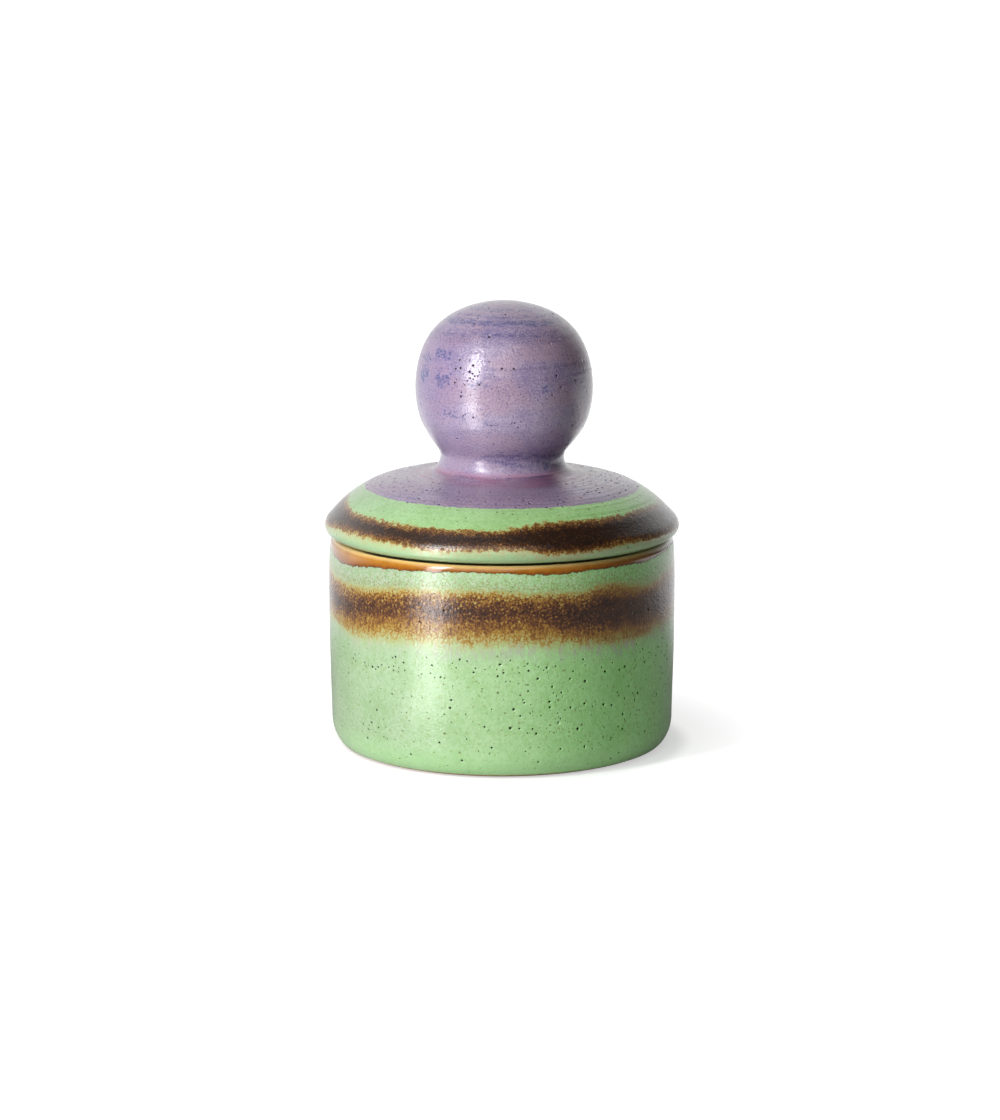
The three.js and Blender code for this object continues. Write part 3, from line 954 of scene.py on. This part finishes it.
def lid_relief(angle, r, z, run):
    """Throwing rings on the dome, a sag towards the neck that is deeper on the right, and a fuller edge."""
    dome = np.clip((z - 76.0) / 2.0, 0, 1) * np.clip((r - WAIST[0]) / 1.5, 0, 1)
    ring = 0.6 * np.sin(r * math.tau / 2.1 + 0.7) + 0.4 * np.sin(r * math.tau / 1.27 + 2.0)
    ring = ring * (0.65 + 0.5 * waves(angle, z, 18.0, 5))
    shoulder = np.clip((z - 70.0) / 5.0, 0, 1) * np.clip((r - WAIST[0]) / 8.0, 0, 1)
    slump = (-0.12 - 0.15 * np.sin(angle)) * shoulder - 0.3 * dome * np.clip((41.0 - r) / 6.0, 0, 1)
    roll = 0.45 * np.clip((z - 66.7) / 1.8, 0, 1) * np.clip((74.5 - z) / 4.5, 0, 1) ** 1.5
    roll = roll * (r > FLANGE_RADIUS + 3)
    return 0.06 * ring * dome + slump + roll + 0.08 * waves(angle, z, 18.0, 2) * (z > 69), ring * dome


def knob_relief(angle, r, z, run):
    """Faint throwing rings, slow waves and a fuller lower half."""
    outside = run > run.max() * 0.47
    height = np.clip((z - 90.0) / 6.0, 0, 1) * np.clip(r / 12.0, 0, 1)
    ring = np.sin(z * math.tau / 2.4) * 0.6 + np.sin(z * math.tau / 1.5 + 1.0) * 0.4
    fullness = np.interp(z, (92, 103, 116, 130, 139), (0.0, 0.75, 0.25, 0.15, -0.25)) * outside
    stand = (0.02 * ring + 0.08 * waves(angle, z, 14.0, 3)) * height * outside + fullness
    return stand, ring * height * outside


def push_aside(piece, foot, reach, rise):
    """Pushes a piece towards +X by reach millimetres, all of it from rise millimetres above its foot."""
    for vertex in piece.data.vertices:
        share = min(max((vertex.co.z / MM - foot) / rise, 0.0), 1.0)
        vertex.co.x += reach * MM * share * share * (3 - 2 * share)


def dress(name, outline, columns, materials, node, body, relief, pits):
    """Turns a piece's visible skin, which takes a solid's place and moves with a body."""
    piece = turned(name, outline, columns, materials, pits, relief)
    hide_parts(node)
    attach(piece, body)
    return piece


def make_jar(clay, liner):
    outline = jar_outline()
    pits = scattered_pits(outline, [
        (11, 350, ((50.5, 2.5), (BELLY_RADIUS, 38.5)), (0.13, 0.33), ALL_ROUND),
        (12, 110, ((BODY_RADIUS, 30.5), (BELLY_RADIUS, 35.0)), (0.16, 0.40), ALL_ROUND),
        (14, 40, ((BELLY_RADIUS, 41.0), (BODY_RADIUS, 62.0)), (0.16, 0.34), ALL_ROUND),
        (17, 70, ((BODY_RADIUS, 9.0), (BELLY_RADIUS, 37.0)), (0.14, 0.38), (2, 66)),
    ])
    materials = {"glaze": jar_material(), "inside": liner, "clay": clay}
    dress("jar_glazed", outline, 400, materials, "jar", "jar", jar_relief, pits)


def make_lid(clay, liner):
    outline = lid_outline()
    pits = scattered_pits(outline, [
        (15, 460, ((43.0, 82.0), (WAIST[0] + 3, CROWN_HEIGHT)), (0.13, 0.34), ALL_ROUND),
        (16, 60, ((54.5, 68.5), (44.0, 81.5)), (0.11, 0.26), ALL_ROUND),
    ])
    materials = {"glaze": lid_material(), "inside": liner, "clay": clay}
    dress("lid_glazed", outline, 400, materials, "lid", "lid", lid_relief, pits)


def make_knob(clay):
    outline = knob_outline()
    pits = scattered_pits(outline, [
        (13, 130, ((22.0, 95.0), (9.0, 138.5)), (0.13, 0.34), ALL_ROUND),
        (18, 16, ((26.5, 113.0), (24.8, 125.0)), (0.16, 0.30), (-38, -6)),
    ])
    materials = {"glaze": knob_material(), "inside": clay}
    knob = dress("knob_glazed", outline, 300, materials, "knob", "lid", knob_relief, pits)
    push_aside(knob, KNOB_FOOT, KNOB_LEAN, 14.0)


# The studio, in metres.
JAR_MIDDLE = 0.065
CARD_DISTANCE = 0.17
CARD_BRIGHTNESS = 6.0
WIDE_BOX_BRIGHTNESS = 1.41
FLOOR_REACH = 12.0
FLOOR_GLOW = 0.72
FLOOR_COLOUR = (0.62, 0.62, 0.62, 1)
WHITE = (1, 1, 1, 1)


def aim(holder, place, target):
    """Puts a lamp or the camera at a place and turns it to a target."""
    holder.location = place
    holder.rotation_mode = "QUATERNION"
    holder.rotation_quaternion = (Vector(target) - Vector(place)).to_track_quat("-Z", "Y")


def soft_box(name, place, target, width, height, brightness):
    """A flat lamp turned to its target. A surface of brightness 1 looks just white."""
    light = bpy.data.lights.new(name, "AREA")
    light.shape = "RECTANGLE"
    light.size = width
    light.size_y = height
    light.energy = brightness * math.pi * width * height
    holder = add_object(name, light)
    aim(holder, place, target)
    return holder


def round_the_jar(azimuth, elevation, distance):
    """A point round the jar's middle: azimuth 0 is in front, and grows towards +X."""
    a, e = math.radians(azimuth), math.radians(elevation)
    x = distance * math.sin(a) * math.cos(e)
    y = -distance * math.cos(a) * math.cos(e)
    return (x, y, JAR_MIDDLE + distance * math.sin(e))


# The tall soft box in front on the left, as (name, azimuth, low end, high end, brightness) of its parts.
STRIP_WIDTH = 0.042
STRIP_DISTANCE = 0.24
STRIPS = [
    ("low_strip", -42, 0.002, 0.040, 16.0),
    ("rim_strip", -40, 0.040, 0.054, 22.0),
    ("middle_strip", -40, 0.054, 0.140, 8.0),
    ("strip_box", -40, 0.140, 0.30, 23.0),
]


def light_paths(s):
    """Whether a ray is a mirrored one, and whether it comes from the camera or through glass."""
    path = s.tree.nodes.new("ShaderNodeLightPath").outputs
    return path["Is Glossy Ray"], s.most(path["Is Camera Ray"], path["Is Transmission Ray"])


def light_studio():
    """A tall soft box in front on the left, a card below it that only reflections show, a wide weak box
    in front, and pale surroundings behind the jar."""
    target = (0, 0, JAR_MIDDLE)
    for name, azimuth, low, high, brightness in STRIPS:
        x, y, _ = round_the_jar(azimuth, 0, STRIP_DISTANCE)
        middle = (low + high) / 2
        soft_box(name, (x, y, middle), (0, 0, middle), STRIP_WIDTH, high - low, brightness)
    x, y, _ = round_the_jar(-42, 0, CARD_DISTANCE)
    card = soft_box("floor_card", (x, y, 0.003), (0, 0, 10.0), STRIP_WIDTH, 0.14, CARD_BRIGHTNESS)
    card.visible_camera = False
    card.visible_diffuse = False
    soft_box("wide_box", round_the_jar(-26, 40, 1.7), target, 2.2, 2.0, WIDE_BOX_BRIGHTNESS)
    world = bpy.data.worlds.new("studio")
    bpy.context.scene.world = world
    s = Shader(world)
    mirrored, seen = light_paths(s)
    ways = s.tree.nodes.new("ShaderNodeTexCoord").outputs["Generated"]
    middle = Vector(round_the_jar(-166, 12, 1.0)) - Vector(target)
    side = s.node("ShaderNodeVectorMath", {0: ways, 1: middle.normalized()}, 1, operation="DOT_PRODUCT")
    pale = s.grade(side, 0.25, 0.80, 0.05, 0.96)
    diffuse = s.mul(pale, 0.40)
    level = s.most(s.blend(mirrored, diffuse, pale), seen)
    background = s.node("ShaderNodeBackground", {"Color": WHITE, "Strength": level})
    output = s.tree.nodes.new("ShaderNodeOutputWorld")
    s.tree.links.new(background, output.inputs["Surface"])


def lay_floor():
    """A pale floor that shows white in the render and keeps the jar's shadow. A painted contact shadow
    darkens a ring round the foot, and a glow that rises away from the jar is painted light that fades the
    shadow out further off.
    """
    mesh = bpy.data.meshes.new("floor")
    corners = [(x * FLOOR_REACH, y * FLOOR_REACH, 0) for x, y in ((-1, -1), (1, -1), (1, 1), (-1, 1))]
    mesh.from_pydata(corners, [], [(0, 1, 2, 3)])
    floor = add_object("floor", mesh)
    s = new_material("floor")
    mirrored, seen = light_paths(s)
    spot = s.tree.nodes.new("ShaderNodeTexCoord").outputs["Object"]
    away = s.node("ShaderNodeVectorMath", {0: spot}, 1, operation="LENGTH")
    # A painted contact shadow round the foot, and a glow that rises away from the jar, painted light that
    # washes the shadow out.
    painted_contact_shadow = s.grade(away, 0.0545, 0.0615, 0.74, 1.0)
    shadow_fading_glow = s.mul(s.grade(away, 0.056, 0.115, FLOOR_GLOW, 1.0), painted_contact_shadow)
    behind = s.node("ShaderNodeSeparateXYZ", {0: spot}, 1)
    mirrored_level = s.mul(mirrored, s.grade(behind, 0.08, 0.22, 0.05, 0.9))
    glow_level = s.most(s.mul(seen, shadow_fading_glow), mirrored_level)
    diffuse = s.node("ShaderNodeBsdfDiffuse", {"Color": FLOOR_COLOUR})
    glow = s.node("ShaderNodeEmission", {"Color": WHITE, "Strength": glow_level})
    both = s.node("ShaderNodeAddShader", {0: diffuse, 1: glow})
    output = s.tree.nodes.new("ShaderNodeOutputMaterial")
    s.tree.links.new(both, output.inputs["Surface"])
    mesh.materials.append(s.owner)


def set_camera():
    """The photograph's view: 1.1 m away and 10.5 degrees above the horizon."""
    data = bpy.data.cameras.new("camera")
    data.sensor_width = 36.0
    data.lens = 112.7
    data.clip_start = 0.05
    data.clip_end = 60.0
    camera = add_object("camera", data)
    aim(camera, round_the_jar(0, 10.5, 1.1), (-0.0006, 0, 0.0578))
    bpy.context.scene.camera = camera


set_camera()
light_studio()
lay_floor()
clay = clay_material()
liner = liner_material()
make_jar(clay, liner)
make_lid(clay, liner)
make_knob(clay)
bpy.context.scene.view_settings.view_transform = "Standard"
